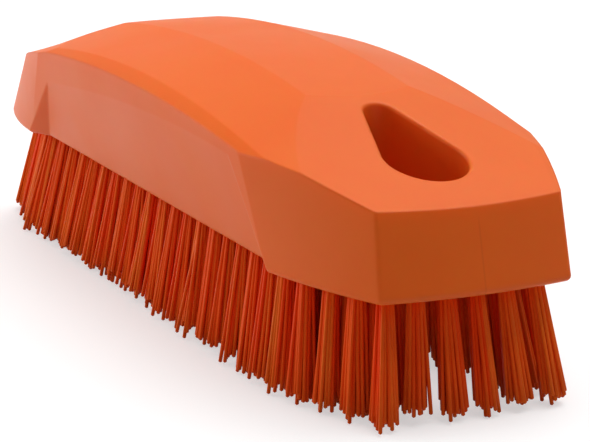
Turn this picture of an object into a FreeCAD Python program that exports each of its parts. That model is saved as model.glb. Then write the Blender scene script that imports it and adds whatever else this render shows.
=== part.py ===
import FreeCAD, Part
import math
import os

# A nail brush: one moulded block with an arched, facetted top, a finger recess in each long
# side and a hanging hole near one end. Bristle tufts stand in blind holes in its underside,
# each folded round a small steel anchor.
# Frame: X along the brush with the hanging hole towards +X, Z up, bristle tips at Z = 0.

Vector = FreeCAD.Vector

# Bristles
bristle_length = 15.0           # from the underside of the block to the trimmed tips
tuft_columns = 27               # from one end to the other, evenly spread
tuft_pitch_across = 4.45
tuft_pitch_beside_hole = 3.4    # across too, where the hanging hole pushes the tufts together
tuft_radius = 1.2               # at the root, packed in its hole
tuft_tip_radius = 1.5           # where the filaments have spread at the tips
tuft_depth = 6.5                # of the part in the block
tuft_clearance = 0.05           # between a tuft and the wall of its hole
side_margin = 0.1               # flat underside between the recess's rounded edge and a tuft
corner_margin = 1.8             # block left between the corners of the ends and a tuft
end_margin = 3.3                # block left between an end and the nearest column of tufts
hole_margin = 0.8               # and between the hanging hole and a tuft
hole_margin_slack = 0.05        # how closely tufts are moved up to that margin
fan_along_degrees = 14.0        # lean of the end tufts outwards, along the brush
fan_across_degrees = 8.0        # lean of the outer tufts to the sides

# Anchors: flat strips of steel, on edge inside the fold of each tuft
anchor_thickness = 0.4
anchor_height = 1.8
anchor_length = 3.2             # longer than the hole is wide, so that it bites into the wall
anchor_below_fold = 1.6         # from the top of the fold to the top of the anchor
anchor_clearance = 0.02         # between an anchor and the tuft and slot round it
anchor_turn_degrees = 45        # between an anchor and the length of the brush

# Underside outline of the block
block_length = 118.0
underside_end_bow = 1.2         # how far each end bulges past its corners
underside_end_width = 27.4
underside_shoulder_from_end = 19.7   # the shoulders are the widest places of the outline
underside_shoulder_width = 39.4
plain_end_bow = 2.2             # the same four sizes at the plain end, which tapers less
plain_end_width = 30.0
plain_shoulder_from_end = 17.0
plain_shoulder_width = 35.6
# The same outline where the leaning walls reach the height below
upper_outline_height = 22.0
end_lean = 6.3                  # how far each end leans in up to there
upper_end_bow = 0.6
upper_end_width = 25.8
upper_shoulder_from_end = 29.5  # from the end of the underside
upper_shoulder_width = 42.8
plain_upper_end_bow = 1.7       # at the plain end
plain_upper_end_width = 24.0
taper_bow = 0.7                 # bulge of the walls between the shoulders and the ends
side_bow = 0.45                 # bulge of the long walls

# Arched roof: a flat strip along the middle, a slope on each side and a steep band at the rim
crest_height = 21.0             # all heights of the block are above its underside
roof_crease_half_width = 7.7
roof_half_span = 32.0           # from the crest to where the arch runs straight
roof_end_drop = 2.8             # from the crest to the ends of that arch
roof_slope_degrees = 13.5
rim_band_half_width = 19.5      # from the middle to where the steep bands start
rim_band_degrees = 38.0

# End pads: crowned where they leave the roof and level across at the ends
pad_length = 31.8               # from an end of the underside to the back of its pad
hole_pad_back_crown = 2.0       # how far the crown falls from the middle of the back to the rim
hole_pad_back_drop = 1.9        # from the crest to the middle of the back of the hole end's pad
hole_end_height = 11.65         # of that pad over the end of the upper outline
plain_pad_back_crown = 5.2      # the same three sizes at the plain end
plain_pad_back_drop = 0.7
plain_end_height = 10.1

# Hanging hole: a rounded wedge, wide towards the end
hole_wide_radius = 5.6
hole_wide_from_end = 15.1       # from the end of the underside to the wide arc's centre
hole_narrow_radius = 2.3
hole_centre_distance = 11.4     # between the centres of the two arcs

# Finger recess in each long side
recess_floor_from_end = 23.8    # from an end of the underside to the recess's corner there
recess_floor_inset = 2.4        # from the shoulders of the underside
recess_apex_from_end = 28.9     # the same where the top of the recess runs out into the wall
recess_apex_inset = 0.64        # from the shoulders of the upper outline
recess_apex_drop = 7.7          # from the crest
recess_end_degrees = 27.5       # between the end facets and the length of the brush
plain_floor_from_end = 19.5     # the recess's corner on the underside at the plain end
plain_floor_inset = 1.9
plain_apex_from_end = 30.0

edge_fillet = 0.7               # of the end corners and the underside
mouth_fillet = 0.4              # of the hanging hole where it opens in its pad

overrun = 5.0                   # how far cutters reach past what they cut

# Worked out from the sizes above
block_half_length = block_length / 2
underside_z = bristle_length
underside_shoulder_x = block_half_length - underside_shoulder_from_end
upper_half_length = block_half_length - end_lean
upper_shoulder_x = block_half_length - upper_shoulder_from_end
roof_end_height = crest_height - roof_end_drop
pad_back_x = block_half_length - pad_length
recess_floor_x = block_half_length - recess_floor_from_end
recess_floor_y = underside_shoulder_width / 2 - recess_floor_inset
recess_apex_x = block_half_length - recess_apex_from_end
recess_apex_y = upper_shoulder_width / 2 - recess_apex_inset
recess_apex_height = crest_height - recess_apex_drop
plain_shoulder_x = block_half_length - plain_shoulder_from_end
plain_floor_x = block_half_length - plain_floor_from_end
plain_floor_y = plain_shoulder_width / 2 - plain_floor_inset
plain_apex_x = block_half_length - plain_apex_from_end


def quarter(end_x, bow, end_width, shoulder_x, shoulder_width):
    """Corner, middle of the taper and shoulder of one end of an outline, on the +Y side."""
    corner_x = end_x - bow
    corner_y = end_width / 2
    shoulder_y = shoulder_width / 2
    run = corner_x - shoulder_x
    rise = shoulder_y - corner_y
    chord = math.hypot(run, rise)
    bulge_x = (corner_x + shoulder_x) / 2 + taper_bow * rise / chord
    bulge_y = (corner_y + shoulder_y) / 2 + taper_bow * run / chord
    return (corner_x, corner_y), (bulge_x, bulge_y), (shoulder_x, shoulder_y)


def outline(end_x, hole_end, plain_end, height):
    """Closed outline of the block at a height, from the quarters at its two ends."""
    corner, taper, shoulder = hole_end
    far_corner, far_taper, far_shoulder = [(-x, y) for x, y in plain_end]
    side = ((shoulder[0] + far_shoulder[0]) / 2, (shoulder[1] + far_shoulder[1]) / 2 + side_bow)

    def at(point, hand):
        return Vector(point[0], hand * point[1], height)

    ends = [Part.Arc(at(corner, -1), Vector(end_x, 0, height), at(corner, 1)),
            Part.Arc(at(far_corner, 1), Vector(-end_x, 0, height), at(far_corner, -1))]
    one_side, other_side = [[Part.Arc(at(corner, hand), at(taper, hand), at(shoulder, hand)),
                             Part.Arc(at(shoulder, hand), at(side, hand), at(far_shoulder, hand)),
                             Part.Arc(at(far_shoulder, hand), at(far_taper, hand), at(far_corner, hand))]
                            for hand in (1, -1)]
    arcs = [ends[0], *one_side, ends[1], *reversed(other_side)]
    return Part.Wire([arc.toShape() for arc in arcs])


def walls():
    """The block before its roof: the space between the two outlines."""
    lower = outline(
        block_half_length,
        quarter(block_half_length, underside_end_bow, underside_end_width,
                underside_shoulder_x, underside_shoulder_width),
        quarter(block_half_length, plain_end_bow, plain_end_width,
                plain_shoulder_x, plain_shoulder_width), 0)
    upper = outline(
        upper_half_length,
        quarter(upper_half_length, upper_end_bow, upper_end_width,
                upper_shoulder_x, upper_shoulder_width),
        quarter(upper_half_length, plain_upper_end_bow, plain_upper_end_width,
                upper_shoulder_x, upper_shoulder_width), upper_outline_height)
    return Part.makeLoft([lower, upper], True, True)


def arch_face(y, lift):
    """Face under the arch, upright along X, with straight ends beyond the roof's span."""
    sag = crest_height - roof_end_height
    radius = (roof_half_span ** 2 + sag ** 2) / (2 * sag)
    slope = roof_half_span / (radius - sag)
    reach = block_half_length + overrun
    foot = roof_end_height - slope * (reach - roof_half_span)
    base = -2 * crest_height

    def at(x, z):
        return Vector(x, y, z + lift)

    arch = Part.Arc(at(-roof_half_span, roof_end_height), at(0, crest_height),
                    at(roof_half_span, roof_end_height)).toShape()
    rest = Part.makePolygon([at(roof_half_span, roof_end_height), at(reach, foot), at(reach, base),
                             at(-reach, base), at(-reach, foot), at(-roof_half_span, roof_end_height)])
    return Part.Face(Part.Wire([arch] + rest.Edges))


def under_slope(half_width, height, degrees):
    """The space under a slope that falls to +Y, the arch's crest in it at a place and height."""
    reach = upper_shoulder_width / 2 + overrun
    fall = math.tan(math.radians(degrees))
    lift = height - crest_height + fall * (reach + half_width)
    return arch_face(-reach, lift).extrude(Vector(0, 2 * reach, -2 * reach * fall))


def roof():
    """The space under the middle strip, both side slopes and both steep bands at the rims."""
    reach = upper_shoulder_width / 2 + overrun
    form = arch_face(-reach, 0).extrude(Vector(0, 2 * reach, 0))
    slope_run = rim_band_half_width - roof_crease_half_width
    band_height = crest_height - slope_run * math.tan(math.radians(roof_slope_degrees))
    for slope in (under_slope(roof_crease_half_width, crest_height, roof_slope_degrees),
                  under_slope(rim_band_half_width, band_height, rim_band_degrees)):
        form = form.common(slope)
        form = form.common(slope.mirror(Vector(0, 0, 0), Vector(0, 1, 0)))
    return form


def under_pad(end_height, back_drop, back_crown):
    """The space under the +X end's pad, its surface run on over the whole block."""
    half_width = upper_shoulder_width / 2
    reach_y = half_width + overrun
    reach_x = block_half_length + overrun
    back_height = crest_height - back_drop
    sections = []
    for x in (-reach_x, reach_x):
        share = (x - pad_back_x) / (upper_half_length - pad_back_x)
        middle = back_height + share * (end_height - back_height)
        side = middle - (1 - share) * back_crown * (reach_y / half_width) ** 2
        crown = Part.Arc(Vector(x, -reach_y, side), Vector(x, 0, middle),
                         Vector(x, reach_y, side)).toShape()
        rest = Part.makePolygon([Vector(x, reach_y, side), Vector(x, reach_y, -overrun),
                                 Vector(x, -reach_y, -overrun), Vector(x, -reach_y, side)])
        sections.append(Part.Wire([crown] + rest.Edges))
    return Part.makeLoft(sections, True, True)


def recess_cutter():
    """The finger recess in the +Y side: a leaning facet with a sloping facet at each end."""
    far_y = upper_shoulder_width / 2 + overrun
    end_slope = math.tan(math.radians(recess_end_degrees))
    sections = []
    for height in (-overrun, crest_height):
        share = height / recess_apex_height
        x = recess_floor_x + share * (recess_apex_x - recess_floor_x)
        y = recess_floor_y + share * (recess_apex_y - recess_floor_y)
        plain_x = plain_floor_x + share * (plain_apex_x - plain_floor_x)
        plain_y = plain_floor_y + share * (recess_apex_y - plain_floor_y)
        sections.append(Part.makePolygon([
            Vector(-plain_x, plain_y, height), Vector(x, y, height),
            Vector(x + (far_y - y) / end_slope, far_y, height),
            Vector(-plain_x - (far_y - plain_y) / end_slope, far_y, height),
            Vector(-plain_x, plain_y, height)]))
    return Part.makeLoft(sections, True, True)


def hanging_hole():
    """The rounded wedge right through the block, its wide arc towards +X."""
    wide_x = block_half_length - hole_wide_from_end
    narrow_x = wide_x - hole_centre_distance
    lean = (hole_wide_radius - hole_narrow_radius) / hole_centre_distance
    side = math.sqrt(1 - lean ** 2)

    def tangent(centre_x, radius, hand):
        return Vector(centre_x - radius * lean, hand * radius * side, -overrun)

    wide = Part.Arc(tangent(wide_x, hole_wide_radius, -1), Vector(wide_x + hole_wide_radius, 0, -overrun),
                    tangent(wide_x, hole_wide_radius, 1))
    narrow = Part.Arc(tangent(narrow_x, hole_narrow_radius, 1),
                      Vector(narrow_x - hole_narrow_radius, 0, -overrun),
                      tangent(narrow_x, hole_narrow_radius, -1))
    upper_side = Part.LineSegment(tangent(wide_x, hole_wide_radius, 1),
                                  tangent(narrow_x, hole_narrow_radius, 1))
    lower_side = Part.LineSegment(tangent(narrow_x, hole_narrow_radius, -1),
                                  tangent(wide_x, hole_wide_radius, -1))
    wire = Part.Wire([wide.toShape(), upper_side.toShape(), narrow.toShape(), lower_side.toShape()])
    return Part.Face(wire).extrude(Vector(0, 0, crest_height + 2 * overrun))


def bored(body):
    """A body with the hanging hole through it, rounded where it opens at the top."""
    hole = hanging_hole()
    with_hole = body.cut(hole)
    mouth = []
    for edge in with_hole.Edges:
        upright = edge.BoundBox.ZLength > edge.BoundBox.XLength + edge.BoundBox.YLength
        if edge.BoundBox.ZMin > 0 and not upright and hole.BoundBox.isInside(edge.CenterOfMass):
            mouth.append(edge)
    return with_hole.makeFillet(mouth_fillet, mouth)


def block_form():
    """The block with its underside at Z = 0, before its rounded edges and tuft holes."""
    form = walls().common(roof())
    form = form.common(bored(under_pad(hole_end_height, hole_pad_back_drop, hole_pad_back_crown)))
    plain_pad = under_pad(plain_end_height, plain_pad_back_drop, plain_pad_back_crown)
    form = form.common(plain_pad.mirror(Vector(0, 0, 0), Vector(1, 0, 0)))
    recess = recess_cutter()
    form = form.cut(recess)
    return form.cut(recess.mirror(Vector(0, 0, 0), Vector(0, 1, 0)))


def round_edges(form):
    """The block with its end corners and all the edges of its underside rounded."""
    past_taper_x = (underside_shoulder_x + block_half_length) / 2
    chosen = []
    for edge in form.Edges:
        box = edge.BoundBox
        upright = box.ZLength > box.XLength + box.YLength
        at_end_corner = abs(box.Center.x) > past_taper_x and abs(box.Center.y) > hole_wide_radius
        if box.ZMax < edge_fillet or (upright and at_end_corner):
            chosen.append(edge)
    return form.makeFillet(edge_fillet, chosen)


def last_column_x():
    """Distance of the end columns of tufts from the middle of the brush."""
    return block_half_length - underside_end_bow - end_margin - tuft_radius


def outer_row_y(x):
    """Distance of the outer tufts from the middle of the brush in the column at x."""
    floor_share = (recess_floor_x - x) / (recess_floor_x + plain_floor_x)
    floor_y = recess_floor_y + floor_share * (plain_floor_y - recess_floor_y)
    beside_recess = floor_y - edge_fillet - side_margin - tuft_radius
    at_end = underside_end_width / 2 - corner_margin - tuft_radius
    shoulder_x = underside_shoulder_x if x > 0 else plain_shoulder_x
    share = max(0, (abs(x) - shoulder_x) / (last_column_x() - shoulder_x))
    return beside_recess + share * (at_end - beside_recess)


def tuft_axis(x, y):
    """Where a tuft points from its root on the underside: the bristles fan out."""
    along = math.tan(math.radians(fan_along_degrees)) * x / last_column_x()
    across = math.tan(math.radians(fan_across_degrees)) * y / outer_row_y(0)
    return Vector(along, across, -1)


def short_of_margin(x, y, hole):
    """How far a tuft comes short of its margin beside the hanging hole."""
    root = Vector(x, y, 0)
    in_block = Part.makeLine(root, root - tuft_axis(x, y) * tuft_depth)
    return tuft_radius + hole_margin - in_block.distToShape(hole)[0]


def tuft_rows(x, hole):
    """Places across the brush of the tufts on the +Y side of the column at x."""
    outer_y = outer_row_y(x)
    steps = round(outer_y / tuft_pitch_across - 1 / 2)
    inner_y = outer_y / (2 * steps + 1)
    if short_of_margin(x, inner_y, hole) > hole_margin_slack:
        while short_of_margin(x, inner_y, hole) > hole_margin_slack:
            inner_y += short_of_margin(x, inner_y, hole)
        steps = round((outer_y - inner_y) / tuft_pitch_beside_hole)
    return [outer_y - step * (outer_y - inner_y) / max(1, steps)
            for step in reversed(range(steps + 1))]


def tuft_places():
    """Columns of root points (x, y) on the underside, from the plain end to the hole's end."""
    hole = hanging_hole()
    columns = []
    for column in range(tuft_columns):
        x = last_column_x() * (2 * column / (tuft_columns - 1) - 1)
        rows = tuft_rows(x, hole)
        columns.append([(x, -y) for y in reversed(rows)] + [(x, y) for y in rows])
    return columns


def stand(shape, x, y):
    """A copy of a shape made along Z, stood at a root point and leaning as the tuft there."""
    turn = FreeCAD.Rotation(Vector(0, 0, -1), tuft_axis(x, y))
    copy = shape.copy()
    copy.Placement = FreeCAD.Placement(Vector(x, y, underside_z), turn)
    return copy


def bundle(extra):
    """A tuft's outer form along Z, its root at Z = 0, larger all round in the block by extra."""
    radius = tuft_radius + extra
    top = tuft_depth + extra
    reach = bristle_length + overrun
    tip = tuft_radius + (tuft_tip_radius - tuft_radius) * reach / bristle_length
    dome = Part.Arc(Vector(0, 0, top), Vector(radius * math.sin(math.pi / 4), 0,
                    top - radius * (1 - math.cos(math.pi / 4))), Vector(radius, 0, top - radius)).toShape()
    rest = Part.makePolygon([Vector(radius, 0, top - radius), Vector(radius, 0, 0), Vector(tip, 0, -reach),
                             Vector(0, 0, -reach), Vector(0, 0, top)])
    return Part.Face(Part.Wire([dome] + rest.Edges)).revolve(Vector(0, 0, 0), Vector(0, 0, 1), 360)


def strip_of_steel(extra):
    """An anchor along Z in its place in the fold, larger all round by extra."""
    length = anchor_length + 2 * extra
    thickness = anchor_thickness + 2 * extra
    height = anchor_height + 2 * extra
    top = tuft_depth - anchor_below_fold + extra
    strip = Part.makeBox(length, thickness, height, Vector(-length / 2, -thickness / 2, top - height))
    strip.rotate(Vector(0, 0, 0), Vector(0, 0, 1), anchor_turn_degrees)
    return strip


def build():
    """Every piece by its node's name."""
    columns = tuft_places()
    tuft = bundle(0).cut(strip_of_steel(anchor_clearance))
    anchor = strip_of_steel(0)
    socket = bundle(tuft_clearance).fuse(strip_of_steel(anchor_clearance))
    below_tips = Part.makeBox(block_length + 2 * overrun, block_length, 2 * overrun,
                              Vector(-block_length / 2 - overrun, -block_length / 2, -2 * overrun))
    sockets = []
    anchors = []
    pieces = {}
    for number, places in enumerate(columns, 1):
        tufts = [stand(tuft, x, y).cut(below_tips) for x, y in places]
        pieces[f"tuft_column_{number:02d}"] = Part.makeCompound(tufts)
        anchors += [stand(anchor, x, y) for x, y in places]
        sockets += [stand(socket, x, y) for x, y in places]
    pieces["tuft_anchors"] = Part.makeCompound(anchors)
    block = round_edges(block_form())
    block.translate(Vector(0, 0, underside_z))
    pieces["block"] = block.cut(sockets)
    return pieces


os.makedirs("parts", exist_ok=True)
for name, piece in build().items():
    print(name, len(piece.Solids), round(piece.Volume), piece.isValid())
    piece.exportStep(f"parts/{name}.step")
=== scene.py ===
import math
import random

import bpy
import numpy as np
from mathutils import Matrix, Vector


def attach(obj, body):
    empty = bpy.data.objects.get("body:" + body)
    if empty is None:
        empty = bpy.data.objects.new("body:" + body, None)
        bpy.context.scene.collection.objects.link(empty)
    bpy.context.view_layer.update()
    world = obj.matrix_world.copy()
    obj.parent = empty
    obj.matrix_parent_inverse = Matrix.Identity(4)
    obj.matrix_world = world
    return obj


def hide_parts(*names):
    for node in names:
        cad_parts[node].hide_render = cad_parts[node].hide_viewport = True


# Nail brush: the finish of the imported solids, with loose filaments in place of the solid tufts.
# Lengths are in millimetres unless a comment says otherwise, and MM takes them to metres.
# Frame: X along the brush with the hanging hole towards +X, Z up, tips of the solid tufts at Z = 0.

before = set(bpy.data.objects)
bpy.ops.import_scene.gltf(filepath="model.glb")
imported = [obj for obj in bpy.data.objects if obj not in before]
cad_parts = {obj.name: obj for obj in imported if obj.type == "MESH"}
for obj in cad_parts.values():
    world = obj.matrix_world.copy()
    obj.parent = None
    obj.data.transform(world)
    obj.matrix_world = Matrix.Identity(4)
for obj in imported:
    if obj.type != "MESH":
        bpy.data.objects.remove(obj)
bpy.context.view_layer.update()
scene = bpy.context.scene
MM = 0.001

# Bristle bundles
underside_height = 15.0        # of the block, where the bundles come out
filaments_in_tuft = 36
filament_radius = 0.25
filament_sides = 6
filament_rings = 4             # cross sections from root to tip
filament_cap = 0.6             # height of a filament's pointed end, in filament radii
root_spread = 0.92             # from a bundle's axis to its outermost filament, at the underside
tip_spread = 1.7               # the same at the tips
root_hidden = 2.5              # how far the filaments are drawn on inside the block
tip_scatter = 0.14             # random sideways lean of a filament's tip
stray_scatter = 0.5            # the same for a stray filament
stray_share = 0.09             # share of the filaments that stray
stray_reach = 0.8              # how much longer a stray filament is
bend_scatter = 0.05            # random bow of a filament at mid-length
trim_scatter = 0.42            # random length of a filament
trim_short = 0.35              # how much shorter than its solid a bundle is on average
tuft_trim_scatter = 0.22       # random length that a whole bundle shares
tuft_lean_scatter = 0.15       # random lean that a whole bundle shares
lowest_tip = -1.0              # height that no filament goes below, and of the floor
golden_angle = math.pi * (3 - math.sqrt(5))  # from one filament of a bundle to the next
random_seed = 5

# Shades, from 0, the redder filament colour, to 1, the lighter
middle_shade = 0.5
tuft_shade_range = 0.15        # either way, for a whole bundle
strips_in_tuft = 7             # sides of a bundle that share a shade
strip_shade_scatter = 0.25
filament_shade_scatter = 0.1

# Reading the solid tufts
same_place_decimals = 4        # points of a solid that agree this far are one
same_height = 0.01             # points this near to a tuft's lowest belong to its tip

# Light: places and sizes in metres, powers in watts
surround_light = 0.32
far_side_gain = 0.60           # how much brighter it is behind the brush, as a share of that
far_side = (-0.88, 0.47, 0.0)  # level direction away from the camera
floor_size = 6.0
floor_colour = 0.54
floor_glow = 0.54              # added for rays that look at the floor, so that it shows white
lamp_target = (0, 0, 0.02)     # near the middle of the brush
lamps = [
    # name, place, size and power
    ("overhead softbox", (-0.07, 0.26, 1.08), 0.9, 9.9),
    ("left softbox", (-0.58, -0.66, 0.22), 0.5, 3.1),
]

# Details of the surfaces
rim_radius = 0.6               # of the soft look of the block's edges
light_reach = 3.0              # how far light passes through the block's plastic
light_reach_shares = (1.0, 0.12, 0.03)  # of that for red, green and blue
speck_scale = 90.0             # cells of the pattern of specks in a metre
speck_share = 0.03             # of the cells that have a speck
speck_share_end = 1.02         # times that share: the cells between the two have a faint speck
speck_radius = 0.05            # in cells
speck_edge = 0.6               # where a speck's soft edge begins, in its radii
weld_line_y = 0.45
weld_line_width = 0.22         # from its middle to where it ends
weld_line_top = 25.0
weld_line_fade = 2.0           # height over which it fades out at its top
weld_line_from_x = 54.0
weld_line_start = 0.5          # length along X over which it fades in
tip_tint_height = 6.0          # how far up the tint of the tips reaches
tip_tint_share = 0.5

# Colours, as linear red, green, blue and alpha
white = (1, 1, 1, 1)
block_orange = (0.945, 0.156, 0.0135, 1)
block_deeper_orange = (0.935, 0.146, 0.0115, 1)
speck_brown = (0.36, 0.035, 0.006, 1)
weld_line_orange = (0.87, 0.138, 0.012, 1)
filament_red_orange = (0.99, 0.056, 0.001, 1)
filament_light_orange = (0.99, 0.178, 0.014, 1)
filament_tip_orange = (0.95, 0.140, 0.009, 1)
filament_drift_orange = (0.98, 0.075, 0.003, 1)
steel_grey = (0.58, 0.58, 0.60, 1)
steel_darker_grey = (0.44, 0.43, 0.42, 1)

# Camera, solved from the photograph
camera_azimuth = math.radians(61.794)
camera_elevation = math.radians(15.064)
camera_roll = math.radians(1.433)
camera_distance = 367.685      # from the middle of the block's underside
camera_right = 4.426           # offsets in the picture's own plane
camera_up = -4.927
focal_pixels = 2606.23
picture_width = 590            # pixels
principal_right = -1.029       # pixels
sensor_width = 36.0
camera_sees_from = 0.01        # metres
camera_sees_to = 20.0          # metres


def add_camera():
    """The camera of the photograph, with its small roll and off-centre framing."""
    az, el, roll = camera_azimuth, camera_elevation, camera_roll
    back = Vector((math.sin(az) * math.cos(el), -math.cos(az) * math.cos(el), math.sin(el)))
    level_right = Vector((math.cos(az), math.sin(az), 0))
    level_up = back.cross(level_right)
    right = level_right * math.cos(roll) + level_up * math.sin(roll)
    up = level_up * math.cos(roll) - level_right * math.sin(roll)
    place = back * camera_distance + right * camera_right + up * camera_up
    place += Vector((0, 0, underside_height))
    data = bpy.data.cameras.new("camera")
    data.sensor_width = sensor_width
    data.lens = sensor_width * focal_pixels / picture_width
    data.shift_x = -principal_right / picture_width
    data.clip_start = camera_sees_from
    data.clip_end = camera_sees_to
    camera = bpy.data.objects.new("camera", data)
    scene.collection.objects.link(camera)
    turn = Matrix((right, up, back)).transposed().to_4x4()
    camera.matrix_world = Matrix.Translation(place * MM) @ turn
    scene.camera = camera


# Node helpers

def feed(tree, node, *sources, **named):
    """Gives a node's inputs, in order or by name, a socket to follow or a fixed value.

    In a name, _ stands for a space.
    """
    targets = list(zip(node.inputs, sources))
    targets += [(node.inputs[name.replace("_", " ")], source) for name, source in named.items()]
    for socket, source in targets:
        if isinstance(source, bpy.types.NodeSocket):
            tree.links.new(source, socket)
        else:
            socket.default_value = source


def add_node(tree, kind, *sources, **settings):
    """A node of a kind. A setting with a capital is an input by name, and any other a property."""
    node = tree.nodes.new(kind)
    for name, value in settings.items():
        if name[0].islower():
            setattr(node, name, value)
    feed(tree, node, *sources, **{name: value for name, value in settings.items() if name[0].isupper()})
    return node


def calculate(tree, operation, *sources):
    return add_node(tree, "ShaderNodeMath", *sources, operation=operation).outputs[0]


def ramp(tree, value, start, end, low, high):
    """A smooth step from low to high, while a value goes from start to end."""
    step = add_node(tree, "ShaderNodeMapRange", interpolation_type="SMOOTHSTEP", Value=value,
                    From_Min=start, From_Max=end, To_Min=low, To_Max=high)
    return step.outputs["Result"]


def colour_mix(tree, mask, under, over):
    """A colour that goes from one to another by a mask."""
    mix = add_node(tree, "ShaderNodeMix", data_type="RGBA", Factor=mask, A=under, B=over)
    return mix.outputs["Result"]


def surface_place(tree):
    """Where a point of the surface lies in the object, in metres."""
    return add_node(tree, "ShaderNodeTexCoord").outputs["Object"]


def new_material(name):
    """A material, its node tree and its shader."""
    material = bpy.data.materials.new(name)
    material.use_nodes = True
    tree = material.node_tree
    return material, tree, tree.nodes["Principled BSDF"]


# Effects that the materials share

def new_group(name, inputs, output, output_kind):
    """A node group with inputs by name and default: its tree, its input sockets and its output node."""
    tree = bpy.data.node_groups.new(name, "ShaderNodeTree")
    for label, default in inputs.items():
        kind = "NodeSocketColor" if isinstance(default, tuple) else "NodeSocketFloat"
        tree.interface.new_socket(label, in_out="INPUT", socket_type=kind).default_value = default
    tree.interface.new_socket(output, in_out="OUTPUT", socket_type=output_kind)
    return tree, tree.nodes.new("NodeGroupInput").outputs, tree.nodes.new("NodeGroupOutput")


def pigment_drift_group():
    """A slow change of pigment over a moulding or a filament, between two colours."""
    tree, given, result = new_group(
        "pigment drift", {"Colour": white, "Drift Colour": white, "Scale": 40.0, "Amount": 0.5},
        "Colour", "NodeSocketColor")
    noise = add_node(tree, "ShaderNodeTexNoise", Vector=surface_place(tree), Scale=given["Scale"],
                     Detail=4.0, Roughness=0.6)
    patches = ramp(tree, noise.outputs["Fac"], start=0.35, end=0.65, low=0, high=1)
    mask = calculate(tree, "MULTIPLY", patches, given["Amount"])
    feed(tree, result, colour_mix(tree, mask, given["Colour"], given["Drift Colour"]))
    return tree


def surface_wear_group():
    """Roughness in soft patches, from polished to worn."""
    tree, given, result = new_group(
        "surface wear", {"Scale": 40.0, "Polished": 0.25, "Worn": 0.4}, "Roughness", "NodeSocketFloat")
    noise = add_node(tree, "ShaderNodeTexNoise", Vector=surface_place(tree), Scale=given["Scale"],
                     Detail=3.0, Roughness=0.55)
    feed(tree, result, ramp(tree, noise.outputs["Fac"], start=0.3, end=0.7, low=given["Polished"],
                            high=given["Worn"]))
    return tree


def fine_grain_group():
    """Height of a fine grain over slow waves, with the grain drawn out along Z by a stretch."""
    tree, given, result = new_group(
        "fine grain", {"Grain Scale": 2500.0, "Stretch": 1.0, "Wave Scale": 90.0, "Wave Share": 0.5},
        "Height", "NodeSocketFloat")
    place = surface_place(tree)
    parts = add_node(tree, "ShaderNodeSeparateXYZ", place).outputs
    drawn_out = calculate(tree, "DIVIDE", parts["Z"], given["Stretch"])
    grain_place = add_node(tree, "ShaderNodeCombineXYZ", parts["X"], parts["Y"], drawn_out).outputs[0]
    grain = add_node(tree, "ShaderNodeTexNoise", Vector=grain_place, Scale=given["Grain Scale"],
                     Detail=2.0, Roughness=0.5)
    wave = add_node(tree, "ShaderNodeTexNoise", Vector=place, Scale=given["Wave Scale"],
                    Detail=1.0, Roughness=0.4)
    height = add_node(tree, "ShaderNodeMix", data_type="FLOAT", Factor=given["Wave Share"],
                      A=grain.outputs["Fac"], B=wave.outputs["Fac"])
    feed(tree, result, height.outputs["Result"])
    return tree


def drifting_colour(tree, colour, drift_colour, scale, amount):
    group = add_node(tree, "ShaderNodeGroup", node_tree=pigment_drift, Colour=colour,
                     Drift_Colour=drift_colour, Scale=scale, Amount=amount)
    return group.outputs["Colour"]


def worn_roughness(tree, scale, polished, worn):
    group = add_node(tree, "ShaderNodeGroup", node_tree=surface_wear, Scale=scale, Polished=polished,
                     Worn=worn)
    return group.outputs["Roughness"]


def grain_bump(tree, strength, depth, **grain_values):
    """A bump of the fine grain."""
    grain = add_node(tree, "ShaderNodeGroup", node_tree=fine_grain, **grain_values)
    return add_node(tree, "ShaderNodeBump", Height=grain.outputs["Height"], Strength=strength,
                    Distance=depth * MM)


# Stage and lamps

def add_floor():
    """A pale floor under the longest filaments. It shows white, but for the brush's shadow."""
    bpy.ops.mesh.primitive_plane_add(size=floor_size, location=(0, 0, lowest_tip * MM))
    floor = bpy.context.object
    floor.name = "floor"
    material, tree, principled = new_material("pale floor")
    rays = add_node(tree, "ShaderNodeLightPath").outputs
    looks = calculate(tree, "MAXIMUM", rays["Is Camera Ray"], rays["Is Glossy Ray"])
    looks = calculate(tree, "MAXIMUM", looks, rays["Is Transmission Ray"])
    feed(tree, principled, Base_Color=(floor_colour, floor_colour, floor_colour, 1), Roughness=0.9,
         Specular_IOR_Level=0.1, Emission_Color=white,
         Emission_Strength=calculate(tree, "MULTIPLY", looks, floor_glow))
    floor.data.materials.append(material)


def add_surround():
    """A plain pale surround, brighter behind the brush and dimmer on the camera's side."""
    world = bpy.data.worlds.new("surround")
    scene.world = world
    world.use_nodes = True
    tree = world.node_tree
    direction = add_node(tree, "ShaderNodeTexCoord").outputs["Generated"]
    behind = add_node(tree, "ShaderNodeVectorMath", direction, far_side, operation="DOT_PRODUCT")
    strength = calculate(tree, "MULTIPLY_ADD", behind.outputs["Value"], surround_light * far_side_gain,
                         surround_light)
    feed(tree, tree.nodes["Background"], Color=white, Strength=strength)


def add_lamps():
    for name, place, size, power in lamps:
        data = bpy.data.lights.new(name, "AREA")
        data.shape = "SQUARE"
        data.size = size
        data.energy = power
        lamp = bpy.data.objects.new(name, data)
        scene.collection.objects.link(lamp)
        lamp.location = place
        aim = Vector(lamp_target) - Vector(place)
        lamp.rotation_euler = aim.to_track_quat("-Z", "Y").to_euler()


# Materials

def speck_mask(tree, place):
    """Small round specks in a few cells of a pattern, each with a soft edge."""
    pattern = add_node(tree, "ShaderNodeTexVoronoi", feature="F1", Vector=place, Scale=speck_scale)
    near = ramp(tree, pattern.outputs["Distance"], start=speck_radius * speck_edge, end=speck_radius,
                low=1, high=0)
    cell = add_node(tree, "ShaderNodeSeparateColor", pattern.outputs["Color"]).outputs[0]
    chosen = ramp(tree, cell, start=speck_share, end=speck_share * speck_share_end, low=1, high=0)
    return calculate(tree, "MULTIPLY", near, chosen)


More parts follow.
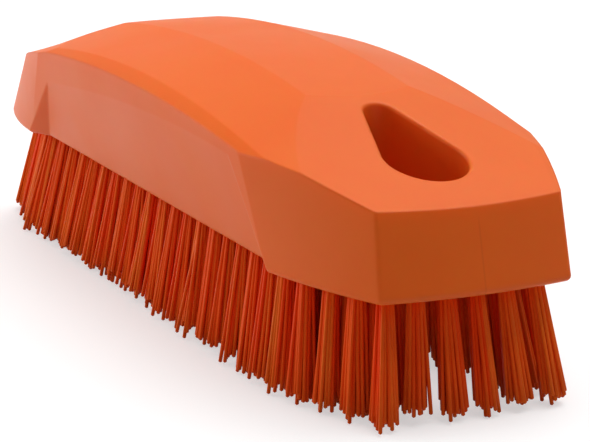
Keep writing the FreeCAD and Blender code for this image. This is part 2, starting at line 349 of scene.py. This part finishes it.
def weld_line_mask(tree, place):
    """A soft upright line on the wall at the end with the hanging hole."""
    parts = add_node(tree, "ShaderNodeSeparateXYZ", place).outputs
    offset = calculate(tree, "SUBTRACT", parts["Y"], weld_line_y * MM)
    distance = calculate(tree, "ABSOLUTE", offset)
    line = ramp(tree, distance, start=0, end=weld_line_width * MM, low=1, high=0)
    at_end = ramp(tree, parts["X"], start=weld_line_from_x * MM,
                  end=(weld_line_from_x + weld_line_start) * MM, low=0, high=1)
    below_top = ramp(tree, parts["Z"], start=(weld_line_top - weld_line_fade) * MM,
                     end=weld_line_top * MM, low=1, high=0)
    return calculate(tree, "MULTIPLY", calculate(tree, "MULTIPLY", line, at_end), below_top)


def block_plastic():
    """Glossy orange moulded plastic, with soft rims, a faint drift of colour, specks and a weld line."""
    material, tree, principled = new_material("orange moulded plastic")
    place = surface_place(tree)
    colour = drifting_colour(tree, block_orange, block_deeper_orange, scale=55.0, amount=1.0)
    colour = colour_mix(tree, speck_mask(tree, place), colour, speck_brown)
    colour = colour_mix(tree, weld_line_mask(tree, place), colour, weld_line_orange)
    rim = add_node(tree, "ShaderNodeBevel", samples=8, Radius=rim_radius * MM)
    bump = grain_bump(tree, strength=0.2, depth=0.05, Grain_Scale=1400.0, Stretch=1.0,
                      Wave_Scale=60.0, Wave_Share=0.8)
    feed(tree, bump, Normal=rim.outputs["Normal"])
    feed(tree, principled, Base_Color=colour, Normal=bump.outputs["Normal"],
         Roughness=worn_roughness(tree, scale=45.0, polished=0.36, worn=0.44),
         Specular_IOR_Level=0.2, Subsurface_Weight=0.4, Subsurface_Radius=light_reach_shares,
         Subsurface_Scale=light_reach * MM)
    return material


def bristle_plastic():
    """Orange filament, redder or lighter from one to the next, with a tint towards the tips."""
    material, tree, principled = new_material("orange filament")
    shade = add_node(tree, "ShaderNodeAttribute", attribute_name="filament_shade").outputs["Fac"]
    colour = colour_mix(tree, shade, filament_red_orange, filament_light_orange)
    height = add_node(tree, "ShaderNodeSeparateXYZ", surface_place(tree)).outputs["Z"]
    near_tip = ramp(tree, height, start=0, end=tip_tint_height * MM, low=tip_tint_share, high=0)
    colour = colour_mix(tree, near_tip, colour, filament_tip_orange)
    colour = drifting_colour(tree, colour, filament_drift_orange, scale=260.0, amount=0.3)
    bump = grain_bump(tree, strength=0.3, depth=0.03, Grain_Scale=9000.0, Stretch=14.0,
                      Wave_Scale=900.0, Wave_Share=0.3)
    feed(tree, principled, Base_Color=colour, Normal=bump.outputs["Normal"],
         Roughness=worn_roughness(tree, scale=700.0, polished=0.42, worn=0.56),
         Specular_IOR_Level=0.1)
    return material


def anchor_steel():
    """Cut steel strip with a drawn grain and slightly darker patches."""
    material, tree, principled = new_material("cut steel strip")
    bump = grain_bump(tree, strength=0.3, depth=0.03, Grain_Scale=6000.0, Stretch=0.08,
                      Wave_Scale=500.0, Wave_Share=0.2)
    feed(tree, principled, Normal=bump.outputs["Normal"], Metallic=1.0,
         Base_Color=drifting_colour(tree, steel_grey, steel_darker_grey, scale=420.0, amount=0.8),
         Roughness=worn_roughness(tree, scale=600.0, polished=0.32, worn=0.5))
    return material


def dress_node(name, material):
    """A new material in every slot of a node that stays."""
    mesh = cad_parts[name].data
    if not mesh.materials:
        mesh.materials.append(material)
    for slot in range(len(mesh.materials)):
        mesh.materials[slot] = material


# Bristles

def tuft_axes(name):
    """The axis of each solid tuft in a column, from the low Y side to the high.

    An axis is its point at the underside and its point at the tips.
    """
    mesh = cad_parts[name].data
    points = np.empty(len(mesh.vertices) * 3)
    mesh.vertices.foreach_get("co", points)
    points = points.reshape(-1, 3) / MM
    numbers = {}
    merged = [numbers.setdefault(tuple(np.round(point, same_place_decimals)), len(numbers))
              for point in points]
    leader = list(range(len(numbers)))

    def find(i):
        while leader[i] != i:
            leader[i] = leader[leader[i]]
            i = leader[i]
        return i

    for edge in mesh.edges:
        a, b = (find(merged[i]) for i in edge.vertices)
        leader[a] = b
    places = np.array(list(numbers))
    tufts = {}
    for i in range(len(places)):
        tufts.setdefault(find(i), []).append(i)
    axes = []
    for members in tufts.values():
        own = places[members]
        top = own[own[:, 2].argmax()]
        lowest = own[own[:, 2] < own[:, 2].min() + same_height]
        tip = (lowest.min(0) + lowest.max(0)) / 2
        share = (underside_height - tip[2]) / (top[2] - tip[2])
        axes.append((tip + share * (top - tip), tip))
    return sorted(axes, key=lambda axis: axis[0][1])


def scattered(draw, spread):
    """A random level offset."""
    return np.array([draw.gauss(0, spread), draw.gauss(0, spread), 0])


def tuft_filaments(root, tip, draw):
    """Start, end, bow and shade of each filament of a bundle, from its axis outwards."""
    lean = scattered(draw, tuft_lean_scatter)
    trim = draw.gauss(0, tuft_trim_scatter)
    turn = draw.uniform(0, 2 * math.pi)
    tuft_shade = middle_shade + draw.uniform(-tuft_shade_range, tuft_shade_range)
    strip_shades = [draw.gauss(0, strip_shade_scatter) for _ in range(strips_in_tuft)]
    for number in range(filaments_in_tuft):
        # Spread evenly over the bundle's section, like the seeds of a sunflower
        angle = turn + number * golden_angle
        out = np.array([math.cos(angle), math.sin(angle), 0])
        out *= math.sqrt((number + 0.5) / filaments_in_tuft)
        stray = draw.random() < stray_share
        start = root + out * root_spread
        end = tip + out * tip_spread + lean + scattered(draw, stray_scatter if stray else tip_scatter)
        along = (end - start) / np.linalg.norm(end - start)
        extra = draw.gauss(-trim_short, trim_scatter) + trim + (stray_reach if stray else 0)
        end = end + along * extra
        end[2] = max(end[2], lowest_tip + filament_radius)
        start = start - along * root_hidden
        bow = scattered(draw, bend_scatter)
        strip = int(strips_in_tuft * (angle / (2 * math.pi) % 1))
        shade = tuft_shade + strip_shades[strip] + draw.gauss(0, filament_shade_scatter)
        yield start, end, bow, min(1, max(0, shade))


def filament_points(start, end, bow):
    """Points of one filament, ring by ring from its start and then its pointed end."""
    along = (end - start) / np.linalg.norm(end - start)
    across = np.cross(along, (0, 1, 0))
    across /= np.linalg.norm(across)
    third = np.cross(along, across)
    points = []
    for ring in range(filament_rings):
        share = ring / (filament_rings - 1)
        # The bow is nothing at both ends and whole at mid-length
        middle = start + share * (end - start) + bow * 4 * share * (1 - share)
        for corner in range(filament_sides):
            angle = 2 * math.pi * corner / filament_sides
            points.append(middle + filament_radius * (math.cos(angle) * across + math.sin(angle) * third))
    points.append(middle + along * filament_radius * filament_cap)
    return points


def filament_faces(first):
    """Faces of one filament by the number of its first point: sides, pointed end and flat start."""
    sides = filament_sides
    faces = []
    for ring in range(filament_rings - 1):
        for corner in range(sides):
            a = first + ring * sides + corner
            b = first + ring * sides + (corner + 1) % sides
            faces.append((b, a, a + sides, b + sides))
    last = first + (filament_rings - 1) * sides
    for corner in range(sides):
        faces.append((last + (corner + 1) % sides, last + corner, last + sides))
    faces.append(tuple(range(first, first + sides)))
    return faces


def add_bristle_column(name, material, draw):
    """All the filaments of one column of tufts as one piece, in place of its solids."""
    points, faces, shades = [], [], []
    for root, tip in tuft_axes(name):
        for start, end, bow, shade in tuft_filaments(root, tip, draw):
            faces += filament_faces(len(points))
            points += filament_points(start, end, bow)
            shades += [shade] * (len(points) - len(shades))
    mesh = bpy.data.meshes.new(name.replace("tuft", "bristle"))
    mesh.from_pydata([Vector(point) * MM for point in points], [], faces)
    mesh.attributes.new("filament_shade", "FLOAT", "POINT").data.foreach_set("value", shades)
    mesh.polygons.foreach_set("use_smooth", [True] * len(mesh.polygons))
    mesh.materials.append(material)
    piece = bpy.data.objects.new(name.replace("tuft", "bristle"), mesh)
    scene.collection.objects.link(piece)
    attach(piece, "root")
    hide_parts(name)


pigment_drift = pigment_drift_group()
surface_wear = surface_wear_group()
fine_grain = fine_grain_group()
add_camera()
add_floor()
add_surround()
add_lamps()
dress_node("block", block_plastic())
dress_node("tuft_anchors", anchor_steel())
bristle = bristle_plastic()
draw = random.Random(random_seed)
for name in sorted(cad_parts):
    if name.startswith("tuft_column"):
        add_bristle_column(name, bristle, draw)

scene.view_settings.view_transform = "Standard"
